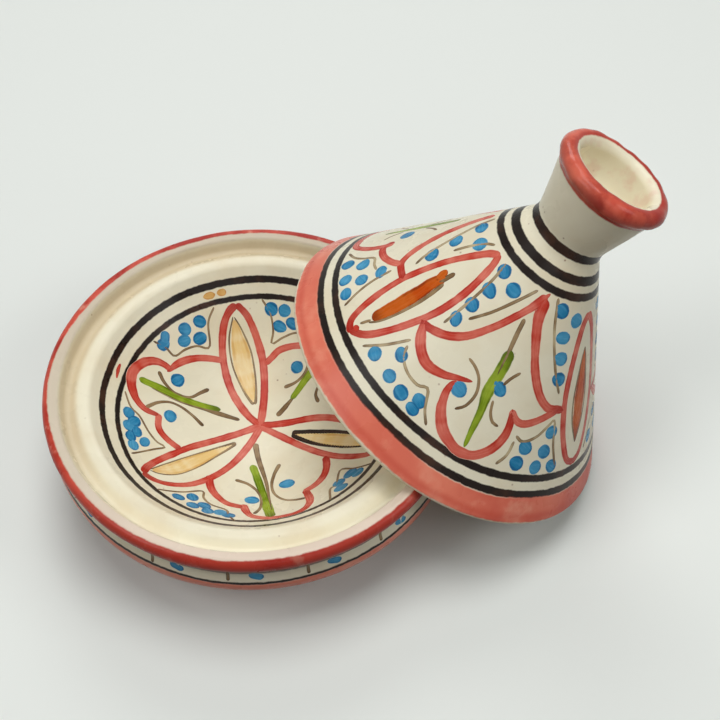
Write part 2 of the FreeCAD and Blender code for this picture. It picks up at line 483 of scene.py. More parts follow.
def slip_paint(name, full, thin, pooled, thinness=0.5):
    """Coloured slip: bristle streaks along the stroke, thin in places, pooled at the edges, and
    an edge that runs out into the white glaze."""
    paint = Glaze(name)
    along, across, seed = paint.parts(paint.attribute("brush", "Vector"))
    bristles = paint.node("ShaderNodeCombineXYZ")
    paint.put(bristles.inputs[0], paint.math("MULTIPLY", along, 0.10))
    paint.put(bristles.inputs[1], paint.math("MULTIPLY", across, 1.8))
    paint.put(bristles.inputs[2], paint.math("MULTIPLY", seed, 2.3))
    streak = paint.grain(1.7, 5.0, bristles.outputs[0], 0.62)
    load = paint.node("ShaderNodeCombineXYZ")
    paint.put(load.inputs[0], paint.math("MULTIPLY", along, 0.07))
    paint.put(load.inputs[1], paint.math("MULTIPLY", seed, 5.1))
    loaded = paint.grain(1.5, 2.0, load.outputs[0])
    side = paint.math("ABSOLUTE", across)
    watery = paint.grain(170.0, 3.0)
    dry = paint.ramp(streak, 0.40, 0.72, 0.0, 0.35)
    spent = paint.ramp(loaded, 0.38, 0.60, 0.0, 0.75)
    weak = paint.math("ADD", dry, spent)
    weak = paint.math("ADD", weak, paint.ramp(watery, 0.40, 0.70, -0.15, 0.25))
    weak = paint.math("MAXIMUM", paint.math("MULTIPLY", weak, thinness), 0.0)
    weak = paint.math("MINIMUM", weak, 1.0)
    tone = paint.mix(weak, full, thin)
    wet = paint.ramp(loaded, 0.40, 0.62, 0.8, 0.15)
    pool = paint.math("MULTIPLY", paint.band(side, 0.60, 0.88, 0.12), wet)
    lifted = paint.ramp(paint.attribute("lift"), 0.80, 1.0, 0.0, 0.75)
    tone = paint.mix(paint.math("MAXIMUM", pool, lifted), tone, pooled)
    ragged = paint.math("MULTIPLY", paint.math("SUBTRACT", paint.grain(520.0, 2.0), 0.5), 0.16)
    spill = paint.math("ADD", side, ragged)
    tone = paint.mix(paint.ramp(spill, 0.90, 1.02), tone, CREAM)
    paint.put(paint.shader.inputs["Base Color"], tone)
    paint.put(paint.shader.inputs["Roughness"], paint.ramp(streak, 0.3, 0.7, 0.20, 0.32))
    paint.shader.inputs["Specular IOR Level"].default_value = 0.14
    return paint.material


def painted(name, bm, lay, material, body):
    """All strokes of one colour, laid on the pot and fired with it."""
    thicken(bm)
    lay(bm)
    piece = fired(name, bm, material, body)
    piece.data.set_sharp_from_angle(angle=PAINT_EDGE)
    return piece


dish_red = bmesh.new()
DISH_RED_STROKES = [
    ([(0.5, 3), (-4, 9), (-8, 18), (-9.8, 27), (-10, 36), (-8.5, 45), (-5.6, 50.6), (-2.2, 53.4)], 3.2),
    ([(0.5, 3), (2.5, 10), (4.5, 20), (5.3, 30), (4.2, 40), (2, 48), (-0.4, 51.6), (-2.2, 53.4)], 3.2),
    ([(1.0, 3.0), (-8, 0.5), (-18, -2.5), (-28, -6.5), (-38, -13.5), (-44.4, -20), (-47, -25.3)], 3.2),
    (
        [(1.2, 3.2), (-5, -6), (-12, -14.5), (-20, -21.5), (-29, -27), (-38, -29), (-44, -27.8),
         (-47, -25.3)],
        3.1,
    ),
    ([(0.5, 3), (10, 2), (20, 1), (28, -2), (36, -8.5), (43, -18), (47.5, -30.5)], 3.2),
    ([(-0.4, 3.6), (8, -4), (16, -12), (24, -19.5), (32, -25.5), (39, -29.5), (47, -31)], 3.1),
    ([(-10, 31.8), (-16, 33), (-22, 33), (-28, 31), (-33, 27.2)], [2.8, 2.8, 3.0, 3.2, 1.6]),
    (
        [(-31, 27.6), (-34, 30), (-38, 31), (-43, 29.5), (-47.5, 25), (-48.5, 19.5), (-47, 13.5),
         (-43.5, 9.5), (-37.5, 7.6)],
        [2.4, 3.0, 3.6, 4.3, 4.5, 4.0, 3.4, 3.0, 2.0],
    ),
    ([(-38, 8.4), (-38.7, 2), (-36, -3), (-31, -7.6)], 2.9),
    ([(-21.2, -20.6), (-21, -28), (-19, -33.5), (-15.5, -38.5), (-9.4, -41.6)], 3.1),
    (
        [(-10, -39.2), (-9.2, -45), (-7.5, -49.4), (-4, -52), (0, -53.2), (7, -53), (11.3, -51.2),
         (13.8, -47.5), (14.5, -43), (13.3, -35.6)],
        3.1,
    ),
    ([(12.6, -36.6), (17, -34.5), (20.5, -31), (22.5, -26), (23, -19.6)], 3.1),
    ([(6, 28.5), (9, 30.5), (13, 33), (20, 33), (26.5, 30.5), (31, 27)], 2.9),
    (
        [(29.8, 27), (32, 29.5), (36, 31), (42, 29), (46.5, 24), (47.5, 18), (45.5, 12.5), (41, 9),
         (36, 7.6)],
        3.0,
    ),
    ([(36.8, 8.4), (37, 3), (35, -2), (31, -6)], 2.9),
    ([(-54.9, 20.2), (-54.0, 24.2), (-52.9, 27.0)], [0.8, 1.7, 1.0]),
    ([(-0.4, 2.2), (2.0, 2.6)], 3.0),
]
for seed, (points, width) in enumerate(DISH_RED_STROKES):
    brush(dish_red, points, width, seed)
STROKE_RED = colour(202, 64, 48)
STROKE_PINK = colour(228, 132, 112)
STROKE_DEEP = colour(168, 36, 26)
red_slip = slip_paint("red_slip", STROKE_RED, STROKE_PINK, STROKE_DEEP, 0.75)
painted("dish_red_strokes", dish_red, lay_in_bowl, red_slip, "dish")

dish_ochre = bmesh.new()
DISH_OCHRE_FILLS = [
    (
        [(-0.6, 13.5), (-1.55, 20), (-2.1, 25), (-2.7, 30), (-2.8, 35), (-3.4, 40), (-3.5, 44),
         (-3.9, 47.5)],
        [2.6, 5.2, 6.8, 7.8, 7.8, 6.6, 4.4, 1.4],
    ),
    (
        [(-11, -4.6), (-18, -8), (-23.5, -11.5), (-29.5, -15.5), (-34, -18.5), (-38.5, -20.5),
         (-43, -22.3)],
        [1.2, 3.6, 5.2, 7.4, 7.2, 5.8, 1.8],
    ),
    (
        [(13, -4.2), (19, -7.8), (24.5, -11.5), (30, -15), (35, -18.5), (40, -22.5), (44, -26.5)],
        [1.6, 4.4, 6.2, 7.2, 7.0, 5.2, 1.6],
    ),
]
for seed, (points, widths) in enumerate(DISH_OCHRE_FILLS):
    brush(dish_ochre, points, widths, seed, tip=1.5, wobble=0.05)
ochre_slip = slip_paint(
    "ochre_slip", colour(240, 204, 134), colour(247, 226, 178), colour(222, 172, 94), 0.8
)
painted("dish_ochre_hearts", dish_ochre, lay_in_bowl, ochre_slip, "dish")

dish_amber = bmesh.new()
brush(dish_amber, [(-15.6, 57.0), (-12.5, 57.6), (-10.4, 58.0)], [1.8, 3.4, 2.0], 10)
brush(dish_amber, [(-9.6, 58.3), (-5.6, 58.7)], [2.6, 3.4], 12)
amber_slip = slip_paint(
    "amber_slip", colour(216, 158, 76), colour(234, 192, 122), colour(196, 128, 50), 0.8
)
painted("dish_amber_smudge", dish_amber, lay_in_bowl, amber_slip, "dish")

dish_green = bmesh.new()
DISH_LEAVES = [
    ([(-45, 22.6), (-38, 20.4), (-30, 17), (-22, 13.8), (-13.5, 11.6)], [2.6, 3.6, 3.6, 3.4, 2.2]),
    ([(-4.5, -15.5), (-3.5, -22), (-2.5, -30), (-1.5, -40), (-0.5, -52)], [3.2, 3.2, 3.2, 4.0, 3.8]),
    ([(14, 11.8), (23, 20), (32, 24.5), (40, 25.5)], [2.4, 3.4, 3.6, 2.6]),
]
for seed, (points, widths) in enumerate(DISH_LEAVES):
    brush(dish_green, points, widths, seed + 20)
green_slip = slip_paint(
    "green_slip", colour(116, 142, 14), colour(168, 188, 56), colour(76, 90, 10), 0.8
)
painted("dish_green_leaves", dish_green, lay_in_bowl, green_slip, "dish")

dish_brown = bmesh.new()
TENDRIL = [1.8, 1.35, 1.1, 1.1, 1.3, 1.7]
HEART_EDGE = [1.6, 0.9, 0.7, 0.7, 0.6]
THIN_TIP = 1.2
DISH_BROWN_STROKES = [
    ([(-40, 19.6), (-30, 15.3), (-20, 12.2), (-13.5, 9.6), (-6.8, 6.6)], [0.5, 0.7, 1.2, 2.1, 1.5]),
    ([(-36.5, 27), (-34.5, 22.5), (-30.5, 18.5), (-25, 17), (-20.5, 19), (-17, 20.5)], TENDRIL),
    ([(-43, 10.5), (-38, 13.5), (-33, 14.3), (-28.5, 12.5), (-24.5, 9), (-21, 4.5)], TENDRIL),
    (
        [(-2.2, -5), (-2, -12), (-1, -20), (-0.3, -27), (-0.2, -36), (0, -46)],
        [2.4, 2.2, 1.6, 1.3, 1.1, 0.9],
    ),
    ([(-11.5, -23), (-7, -26), (-4, -31), (-3, -37), (-4, -43), (-6.5, -47.5)], TENDRIL),
    ([(5.5, -17), (3, -22), (1.5, -28), (2, -34), (5, -39), (9, -41), (13, -41.5)], TENDRIL),
    ([(7.5, 6), (10.5, 8.5), (15, 12.5)], [2.2, 2.0, 1.2]),
    ([(12, 17.5), (17, 18.5), (21, 21), (24, 25)], TENDRIL),
    ([(24.5, 7), (24, 11), (27, 15), (33, 16)], TENDRIL),
    (
        [(-11.5, 53), (-14.5, 47), (-15, 37.5), (-20, 38), (-25, 36.5), (-29.5, 33.8), (-33, 37),
         (-38, 39)],
        0.9,
    ),
    (
        [(-51.5, 15.5), (-49.5, 9), (-46, 5.5), (-43, -1), (-40, -5.5), (-37, -7.5), (-42, -10),
         (-51, -15.5)],
        0.9,
    ),
    (
        [(-42, -34.5), (-33, -33), (-24.5, -30.5), (-24.3, -35), (-22, -39.5), (-16.5, -43.5),
         (-16, -48), (-14, -54)],
        1.0,
    ),
    ([(22, -50), (22.5, -41), (25, -39.5), (27.5, -31), (33, -34), (40, -37)], 1.0),
    (
        [(9, 54), (11.5, 48), (11.5, 41), (10, 36), (15, 37.5), (21, 38), (28, 34.5), (33, 37),
         (37, 38)],
        0.9,
    ),
    ([(50, 17), (48.5, 9), (44.5, 5), (42, -1), (38, -6), (42, -10), (51, -15)], 0.9),
    ([(-0.8, 12.5), (-4.2, 20), (-6.8, 30), (-6.8, 40), (-4.1, 48.7)], HEART_EDGE),
    ([(-0.2, 12.5), (1.1, 20), (1.5, 27), (1.1, 35), (-1.3, 43.5), (-3.6, 48.5)], HEART_EDGE),
    ([(-9.5, -3.8), (-18, -6.4), (-28, -10.8), (-37, -16.4), (-44, -22)], HEART_EDGE),
    (
        [(-9.5, -4.2), (-17, -9.8), (-25, -16.2), (-33, -21.6), (-40, -23.4), (-44, -22.6)],
        [1.6, 0.8, 0.7, 0.7, 0.6],
    ),
]
DISH_DARK_STROKES = [
    ([(12, -3.4), (20, -5.6), (30, -10.2), (38, -17), (44.5, -26.5)], [3.0, 2.2, 1.7, 1.3, 1.0]),
    ([(12, -3.8), (18, -9.8), (26, -15.6), (35, -21.4), (44.5, -27)], [3.0, 2.0, 1.6, 1.3, 1.0]),
]
for seed, (points, width) in enumerate(DISH_BROWN_STROKES):
    brush(dish_brown, points, width, seed + 40, tip=THIN_TIP)
STROKE_BROWN = colour(126, 98, 66)
brown_slip = slip_paint("brown_slip", STROKE_BROWN, colour(178, 152, 112), colour(80, 54, 34), 0.7)
painted("dish_brown_lines", dish_brown, lay_in_bowl, brown_slip, "dish")
dish_dark = bmesh.new()
for seed, (points, width) in enumerate(DISH_DARK_STROKES):
    brush(dish_dark, points, width, seed + 65, tip=THIN_TIP)
dark_slip = slip_paint("dark_slip", colour(40, 26, 18), colour(84, 60, 44), LINE_BLACK, 0.6)
painted("dish_dark_lines", dish_dark, lay_in_bowl, dark_slip, "dish")

dish_blue = bmesh.new()
DAB = 5.3
DAB_SLANT = 1.2
DAB_REACH = 50.9
DISH_DABS = [
    (-29, 24), (-33.5, 8), (7, -29), (-6.5, -36.5), (18.5, 24.5), (33, 9),
    (-18.5, 49), (-25.5, 46.5), (-25, 40), (-18.5, 41), (-36, 40.5),
    (-52, 6), (-48.5, 2.5), (-52.8, -0.5), (-48, -2.5), (-52, -6), (-45, -7), (-51, -10.5),
    (-34, -37), (-28.5, -35.5), (-24.5, -41), (-30, -43.5), (-24.5, -47), (-18.8, -46), (-17.5, -52.5),
    (31, -36), (26.2, -39), (35.5, -39.5), (28, -45.5),
    (12.5, 50.5), (18, 48.5), (14.5, 42), (20, 42), (27, 43), (32, 41),
    (52, 6), (48.5, 2), (52, -2), (47.5, -4.5), (52, -8.5),
]
LONG_DAB = [(-32.5, 43.5), (-33.6, 37.5)]


def dab(bm, x, y, size, seed, lean=0.0):
    """One press of the brush: a short drop, a little longer than it is wide."""
    long = 1.06 + 0.16 * noise.noise((seed * 1.7, 0.3, 0.0))
    turn = lean + 1.2 * noise.noise((seed * 2.3, 4.1, 0.0))
    reach = Vector((math.cos(turn), math.sin(turn))) * size * 0.5 * long
    wide = size * (1.0 + 0.14 * noise.noise((seed * 0.9, 7.7, 0.0)))
    brush(bm, [Vector((x, y)) - reach, Vector((x, y)) + reach], wide, seed, tip=size, wobble=0.2)


for seed, (x, y) in enumerate(DISH_DABS):
    inside = min(1.0, DAB_REACH / math.hypot(x, y))
    dab(dish_blue, x * inside, y * inside, DAB, seed + 70, math.atan2(y, x) + DAB_SLANT)
brush(dish_blue, LONG_DAB, 4.0, 120)
blue_slip = slip_paint(
    "blue_slip", colour(38, 128, 174), colour(88, 168, 206), colour(16, 86, 136), 0.75
)
painted("dish_blue_dabs", dish_blue, lay_in_bowl, blue_slip, "dish")

# ---------------------------------------------------------------------------------------------
# The marks outside: in the cream cove below the lip, short upright brown strokes with a blue dash
# after each. They are put on with the same brush while the dish is turned by hand.
# ---------------------------------------------------------------------------------------------
COVE_RADIUS = 6.0
COVE_MIDDLE = math.radians(180.0)
COVE_REACH = 72.9
MARK_PITCH = 20.6
MARK_FIRST = -124.2
MARK_COUNT = 17
DASH_AFTER = 8.4


def lay_in_cove(bm):
    """The chart's x goes round the dish, and its y goes up the hollow of the cove."""
    for vert in bm.verts:
        turn = vert.co.x / COVE_REACH
        swing = COVE_MIDDLE - vert.co.y / COVE_RADIUS
        reach = COVE_CENTRE[0] + (COVE_RADIUS - vert.co.z) * math.cos(swing)
        vert.co.z = COVE_CENTRE[1] + (COVE_RADIUS - vert.co.z) * math.sin(swing)
        vert.co.x = reach * math.cos(turn)
        vert.co.y = reach * math.sin(turn)
    press_oval(bm, DISH_OVAL, DISH_OVAL_TURN)
    pull_rim(bm, lambda vert: 1.0)


mark_brown = bmesh.new()
mark_blue = bmesh.new()
for count in range(MARK_COUNT):
    middle = math.radians(MARK_FIRST + MARK_PITCH * count) * COVE_REACH
    sway = noise.noise((count * 3.1, 0.0, 0.0))
    upright = [(middle + sway, 1.6), (middle + 0.4 * sway, -3.3)]
    brush(mark_brown, upright, 1.2 + 0.5 * sway, count + 130)
    dash = middle + DASH_AFTER + 2.0 * sway
    slanted = [(dash - 1.8, -0.4), (dash + 3.0, -1.9 + sway)]
    brush(mark_blue, slanted, 3.0 + 0.8 * sway, count + 150)
painted("dish_brown_marks", mark_brown, lay_in_cove, brown_slip, "dish")
painted("dish_blue_marks", mark_blue, lay_in_cove, blue_slip, "dish")

# ---------------------------------------------------------------------------------------------
# The lid. One thrown piece: a hollow cone, a narrow neck and a flared knob with a cup in it.
# It is glazed white, with a coral band round its foot, a red roll on the knob and black lines.
# It leans on the dish: its low edge stands on the table and its inner edge rests on the lip.
# ---------------------------------------------------------------------------------------------
CONE = math.radians(34.8)
CONE_FOOT = 65.878
LID_OVAL = 0.02825
LID_OVAL_TURN = math.radians(108.39)
LID_CENTRE = (71.415, 0.0, 31.788)
LEAN = math.radians(30.0)
LID_PLACE = Matrix.Translation(LID_CENTRE) @ Matrix.Rotation(LEAN, 4, "Y")
HOLLOW_TOP = (0.0, 62.0)
WALL_FOOT = (64.35, 2.199)
KNOB_ROLL = (17.1, 100.75)
LID_CUTS = [
    ((0.0, 33.554), (23.358, 49.789), 14),
    (STRAIGHT, (57.545, 0.601), 20),
    ((58.694, 1.4), (58.694, 0.0), 5),
    (STRAIGHT, (63.2, 0.0), 3),
    ((63.2, 1.4), WALL_FOOT, 6),
    (STRAIGHT, (14.88, 73.377), 44),
    ((21.449, 77.942), (13.819, 80.348), 10),
    (STRAIGHT, (18.495, 97.76), 14),
    (KNOB_ROLL, (17.1, 104.05), 18),
    (KNOB_ROLL, (13.85, 100.18), 12),
    ((0.0, 98.19), (0.0, 84.2), 16),
]

lid_bm = bmesh.new()
lid_run = cut_section(lid_bm, HOLLOW_TOP, LID_CUTS)

# The run is counted up the cone's side from its foot, so that paint is placed by it
foot_x, foot_z = WALL_FOOT
foot_run = min((abs(v.co.x - foot_x) + abs(v.co.z - foot_z), v[lid_run]) for v in lid_bm.verts)[1]
for vert in lid_bm.verts:
    vert[lid_run] += foot_z / math.cos(CONE) - foot_run
throw(lid_bm)

# The roll on the knob was pressed by hand and is a little wavy
ROLL_FROM, ROLL_TO = 107.3, 130.3
ROLL_WAVE, ROLL_WAVE_SCALE = 0.6, 0.08
ROLL_DENT, ROLL_DENT_SCALE = 0.3, 0.22
for vert in lid_bm.verts:
    along = vert[lid_run]
    if ROLL_FROM < along < ROLL_TO:
        share = math.sin(math.pi * (along - ROLL_FROM) / (ROLL_TO - ROLL_FROM))
        wave = ROLL_WAVE * noise.noise(vert.co * ROLL_WAVE_SCALE)
        dent = ROLL_DENT * noise.noise(vert.co * ROLL_DENT_SCALE)
        vert.co += vert.normal * share * (wave + dent)
press_oval(lid_bm, LID_OVAL, LID_OVAL_TURN)
bmesh.ops.transform(lid_bm, matrix=LID_PLACE, verts=lid_bm.verts[:])

# Being oval, the lid would stand off the table: its low edge settles on it
STAND_HEIGHT = 18.0
STAND_GAP = 0.70
for vert in lid_bm.verts:
    if vert.co.z < STAND_HEIGHT:
        vert.co.z -= STAND_GAP * (1 - vert.co.z / STAND_HEIGHT)

# Where each colour lies on the lid, as the run up its outside from the cone's foot
LID_LINES = ((10.9, 13.6), (16.7, 19.3), (79.2, 81.9), (84.3, 87.6), (91.8, 95.2))
FOOT_CORAL = (2.15, 10.9)
FOOT_RED = (3.2, 5.4)
ROLL_RED = (113.66, 124.7)
ROLL_LOW_EDGE = (113.3, 115.2)
ROLL_CUP_EDGE = (123.2, 124.9)
CUP_STAIN_IN = (124.0, 126.5)
CORAL_CLOUD = colour(216, 92, 74)
CORAL_SHADED_LOW = colour(206, 82, 62)
CORAL_LIT_HIGH = colour(243, 140, 112)
ROLL_SPECK = colour(226, 108, 82)
ROLL_SHADED_RIGHT = colour(160, 28, 18)
ROLL_HIGHLIGHT_LEFT = colour(228, 132, 106)
CUP_STAIN = colour(222, 172, 152)

lid_glaze = Glaze("lid_glaze_look")
g = lid_glaze
run = uneven(g, g.attribute("run"), 1.5, 0.7)
edge_run = uneven(g, g.attribute("run"), 3.4, 0.9)
look = cream_glaze(g)
for line_start, line_end in LID_LINES:
    cover, tone = brushed_line(g, run, line_start, line_end)
    look = g.mix(cover, look, tone)
worn = g.ramp(g.grain(120.0, 5.0), 0.52, 0.72)
cloud = g.ramp(g.grain(30.0, 4.0), 0.40, 0.66)
coral = g.mix(g.math("MULTIPLY", worn, 0.65), g.mix(cloud, CORAL_CLOUD, CORAL), CORAL_PALE)
sides = g.parts(g.place)
# Painted shade and light: the coral band is darker where it comes down near the table and lighter where
# the leaning lid lifts it up
coral = g.mix(g.ramp(sides["Z"], 0.004, 0.030, 0.85, 0.0), coral, CORAL_SHADED_LOW)
coral = g.mix(g.ramp(sides["Z"], 0.026, 0.056, 0.0, 0.45), coral, CORAL_LIT_HIGH)
look = g.mix(g.band(edge_run, *FOOT_CORAL, 0.4), look, coral)
look = g.mix(g.math("MULTIPLY", g.band(edge_run, *FOOT_RED, 1.2), 0.5), look, RIM_RED)
roll_tone = g.mix(g.ramp(g.grain(85.0, 4.0), 0.44, 0.62), RIM_RED, RIM_DEEP)
thin = g.math("MULTIPLY", g.ramp(g.grain(60.0, 3.0), 0.42, 0.62), 0.18)
roll_tone = g.mix(thin, roll_tone, CORAL)
mottle = g.math("MULTIPLY", g.ramp(g.grain(240.0, 5.0), 0.46, 0.64), 0.4)
roll_tone = g.mix(mottle, roll_tone, ROLL_SPECK)
# Painted shade: the knob's roll is deeper red on its right side, which faces down
roll_tone = g.mix(g.ramp(sides["X"], 0.120, 0.136, 0.0, 0.55), roll_tone, ROLL_SHADED_RIGHT)
roll_edge = g.math("ADD", g.band(run, *ROLL_LOW_EDGE, 0.8), g.band(run, *ROLL_CUP_EDGE, 0.7))
roll_tone = g.mix(g.math("MULTIPLY", roll_edge, 0.6), roll_tone, RIM_DEEP)
# Painted highlight: the roll is paler on its left side
roll_tone = g.mix(g.ramp(sides["X"], 0.100, 0.116, 0.45, 0.0), roll_tone, ROLL_HIGHLIGHT_LEFT)
blots = g.ramp(g.grain(110.0, 4.0), 0.48, 0.66, 0.0, 0.35)
stain = g.math("MULTIPLY", blots, g.ramp(run, *CUP_STAIN_IN))
look = g.mix(stain, look, CUP_STAIN)
roll_cover = g.band(run, *ROLL_RED, 0.35)
look = g.mix(roll_cover, look, roll_tone)
finish_glaze(g, look, g.math("MULTIPLY", roll_cover, 0.12))

lid = fired("lid_body", lid_bm, lid_glaze.material, "lid")
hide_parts("conical_lid")

# ---------------------------------------------------------------------------------------------
# The painting on the cone: the same petals, arches, leaves and dabs as in the bowl, wrapped round
# the lid between its black lines. It is drawn on the cone's flat development and rolled up.
# ---------------------------------------------------------------------------------------------
APEX = CONE_FOOT / math.sin(CONE)
CHART_MIDDLE = -70.0


def on_cone(turn, slant):
    """The place on the flat development of an angle round the lid and a height up its side."""
    swing = math.radians(turn - CHART_MIDDLE) * math.sin(CONE)
    return ((APEX - slant) * math.cos(swing), (APEX - slant) * math.sin(swing))


def roll_up(bm):
    """Rolls the flat development up into the cone, on the leaning lid."""
    for vert in bm.verts:
        height = vert.co.z
        reach = math.hypot(vert.co.x, vert.co.y)
        turn = math.atan2(vert.co.y, vert.co.x) / math.sin(CONE) + math.radians(CHART_MIDDLE)
        round_about = reach * math.sin(CONE) + height * math.cos(CONE)
        vert.co.x = round_about * math.cos(turn)
        vert.co.y = round_about * math.sin(turn)
        vert.co.z = (APEX - reach) * math.cos(CONE) + height * math.sin(CONE)
    press_oval(bm, LID_OVAL, LID_OVAL_TURN)
    bmesh.ops.transform(bm, matrix=LID_PLACE, verts=bm.verts[:])


def cone_strokes(bm, strokes, first_seed, turn=0.0, mirror=None, **ways):
    """Strokes given by angle and slant. They can be turned on, or mirrored about an angle."""
    for seed, (points, width) in enumerate(strokes):
        places = [(2 * mirror - a if mirror is not None else a, s) for a, s in points]
        brush(bm, [on_cone(a + turn, s) for a, s in places], width, seed + first_seed, **ways)


LID_PETAL = [
    (
        [(-164.5, 76.8), (-168, 75.8), (-172, 74), (-177, 69), (-181.5, 62), (-183.5, 55),
         (-184, 48), (-183.5, 42), (-181, 33), (-177.5, 25), (-174.5, 21.4), (-170.5, 20.2)],
        2.9,
    ),
    (
        [(-166.5, 76.8), (-163, 75), (-160, 72), (-157, 66), (-155.5, 59), (-156, 51), (-158, 44),
         (-161, 36), (-164, 29), (-167, 24), (-171.5, 20.4)],
        2.9,
    ),
]
LID_PETAL_NEXT = [
    (
        [(-57, 75), (-64, 70), (-68, 60), (-69.5, 50), (-69, 42), (-66.5, 32), (-62, 23),
         (-56.5, 20.2)],
        2.9,
    ),
]
LID_ARCH = [
    (
        [(-108.5, 78), (-114, 73), (-121, 67), (-128, 60), (-136, 52), (-144, 47), (-153, 44),
         (-158, 43.6)],
        [3.6, 2.8, 2.5, 2.5, 2.7, 3.1, 3.1, 2.6],
    ),
    (
        [(-108, 77), (-106, 70), (-100, 62), (-94, 54), (-87, 47), (-80, 43), (-74, 42.5),
         (-69.5, 42)],
        [4.3, 4.0, 3.4, 3.1, 3.3, 3.5, 3.2, 2.6],
    ),
    (
        [(-156.5, 44.2), (-151, 40), (-145, 37), (-139, 36), (-132, 37.5), (-127, 39.5),
         (-120.2, 41.6)],
        [2.6, 3.9, 4.2, 3.8, 3.0, 2.2, 1.1],
    ),
    (
        [(-126, 38.6), (-126.9, 36), (-126.5, 33), (-124, 28), (-119, 23), (-113, 20.4), (-110, 20),
         (-105, 21), (-100, 25), (-97, 30), (-96.5, 35), (-98, 40)],
        [1.8, 2.6, 3.6, 4.0, 3.9, 3.6, 3.4, 3.4, 3.4, 3.3, 2.9, 1.8],
    ),
    ([(-98.5, 39.5), (-94, 36.7), (-90, 36.5), (-85, 38), (-80, 40), (-73, 42.6)], 2.8),
]
LID_ARCH_BACK = [
    (
        [(-221, 77), (-219, 72), (-215, 66), (-210, 59), (-205, 53), (-200, 47.5), (-195, 44),
         (-190, 43.5), (-183.5, 43.7)],
        3.0,
    ),
    ([(-194, 43.5), (-198, 40), (-203, 37), (-208, 35.5), (-212, 35.5), (-215, 39)], 2.9),
    (
        [(-213.6, 39), (-213, 36), (-213.5, 31), (-215.5, 26), (-219, 21.5), (-224, 20.4),
         (-230, 20)],
        3.0,
    ),
]
LID_RED_TIPS = [
    ([(-110, 78), (-107, 77.5)], 3.4),
    ([(-172.5, 22.5), (-169.5, 22.5)], 2.6),
]
NEXT_MIDDLE = -57.0
HIDDEN_PETAL = 125.0
HIDDEN_ARCH = 115.0
BACK_MIDDLE = -228.5
lid_red = bmesh.new()
cone_strokes(lid_red, LID_PETAL, 200)
cone_strokes(lid_red, LID_PETAL_NEXT, 204)
cone_strokes(lid_red, LID_PETAL_NEXT, 206, mirror=NEXT_MIDDLE)
cone_strokes(lid_red, LID_PETAL_NEXT, 208, turn=HIDDEN_PETAL)
cone_strokes(lid_red, LID_PETAL_NEXT, 210, turn=HIDDEN_PETAL, mirror=NEXT_MIDDLE)
cone_strokes(lid_red, LID_ARCH, 212)
cone_strokes(lid_red, LID_ARCH, 220, turn=HIDDEN_ARCH)
cone_strokes(lid_red, LID_ARCH_BACK, 230)
cone_strokes(lid_red, LID_ARCH_BACK, 236, mirror=BACK_MIDDLE)
cone_strokes(lid_red, LID_RED_TIPS, 244)
painted("lid_red_strokes", lid_red, roll_up, red_slip, "lid")

LID_HEART = [
    (
        [(-172, 57.5), (-172.2, 52), (-171.2, 47), (-170.8, 41), (-171, 35), (-171.2, 29)],
        [4.2, 5.6, 6.6, 6.4, 5.6, 4.2],
    ),
    ([(-176, 59), (-173, 54.5)], 3.2),
]
NEXT_HEART = [
    ([(-57, 62), (-57, 54), (-57, 45), (-57, 36), (-57, 28.5)], [2.0, 5.4, 6.8, 6.0, 2.0]),
]
BLUNT_TIP = 2.0
lid_orange = bmesh.new()
cone_strokes(lid_orange, LID_HEART + NEXT_HEART, 250, tip=BLUNT_TIP)
cone_strokes(lid_orange, NEXT_HEART, 254, turn=HIDDEN_PETAL, tip=BLUNT_TIP)
orange_slip = slip_paint(
    "orange_slip", colour(196, 76, 8), colour(210, 110, 36), colour(122, 44, 6), 0.7
)
painted("lid_orange_hearts", lid_orange, roll_up, orange_slip, "lid")

LID_LEAF = [
    (
        [(-109.5, 22), (-110, 28), (-110.5, 35), (-112, 42), (-111.5, 50), (-112, 57)],
        [1.4, 2.4, 3.2, 4.2, 4.4, 3.8],
    ),
]
BACK_LEAF = [
    (
        [(BACK_MIDDLE, 62), (BACK_MIDDLE, 55), (BACK_MIDDLE, 47), (BACK_MIDDLE, 38), (BACK_MIDDLE, 30)],
        [2.2, 3.4, 3.4, 2.8, 1.6],
    ),
]
lid_green = bmesh.new()
cone_strokes(lid_green, LID_LEAF, 260)
cone_strokes(lid_green, LID_LEAF, 261, turn=HIDDEN_ARCH)
cone_strokes(lid_green, BACK_LEAF, 262)
painted("lid_green_leaves", lid_green, roll_up, green_slip, "lid")

LID_ARCH_BROWN = [
    ([(-115, 68), (-114, 62), (-112.8, 56), (-112, 48)], [1.7, 1.6, 1.4, 0.8]),
    ([(-128, 47), (-123, 46), (-118.5, 43.5), (-116, 39), (-117, 34), (-120, 31)], 1.1),
    ([(-101.5, 52), (-105, 49), (-107, 46)], 1.1),
    ([(-108, 40), (-106.5, 36), (-104, 33.5), (-101, 33)], 1.1),
]
LID_CORNER_BROWN = [
    ([(-153, 37), (-158, 29), (-163, 22)], 1.1),
    ([(-152, 35), (-149, 31.5), (-143, 29.3), (-137, 29), (-133, 30.5), (-129, 25), (-125, 21)], 1.1),
    ([(-92, 32), (-88, 30.5), (-82, 33), (-77, 37), (-74, 38.5), (-72, 30), (-69, 22)], 1.1),
    ([(-92, 30), (-93, 25), (-96, 21)], 1.1),
    ([(-155, 77), (-151, 70), (-149.5, 60), (-149.5, 49)], 1.1),
    ([(-118, 78), (-127, 71), (-135, 63), (-142, 56)], 1.1),
    ([(-98, 79), (-92, 70), (-86, 62), (-80, 54), (-75, 48)], 1.1),
]
LID_BACK_BROWN = [
    ([(-218, 55), (-222, 52.5), (-225, 49)], 1.1),
    ([(-220, 33), (-223, 35), (-226, 39)], 1.1),
]
LID_BACK_FAINT = [
    ([(-213, 78), (-209, 72), (-204, 66.5), (-199, 60), (-194, 53), (-190, 49)], 1.2),
    ([(-177, 77), (-183, 74), (-187, 69), (-189, 63)], 1.2),
    ([(-196, 34.3), (-200, 33.3), (-205, 32.8), (-207, 28), (-209.5, 24), (-214, 20.5)], 1.1),
    ([(-192, 40), (-190, 33), (-187, 27), (-183, 21)], 1.1),
]
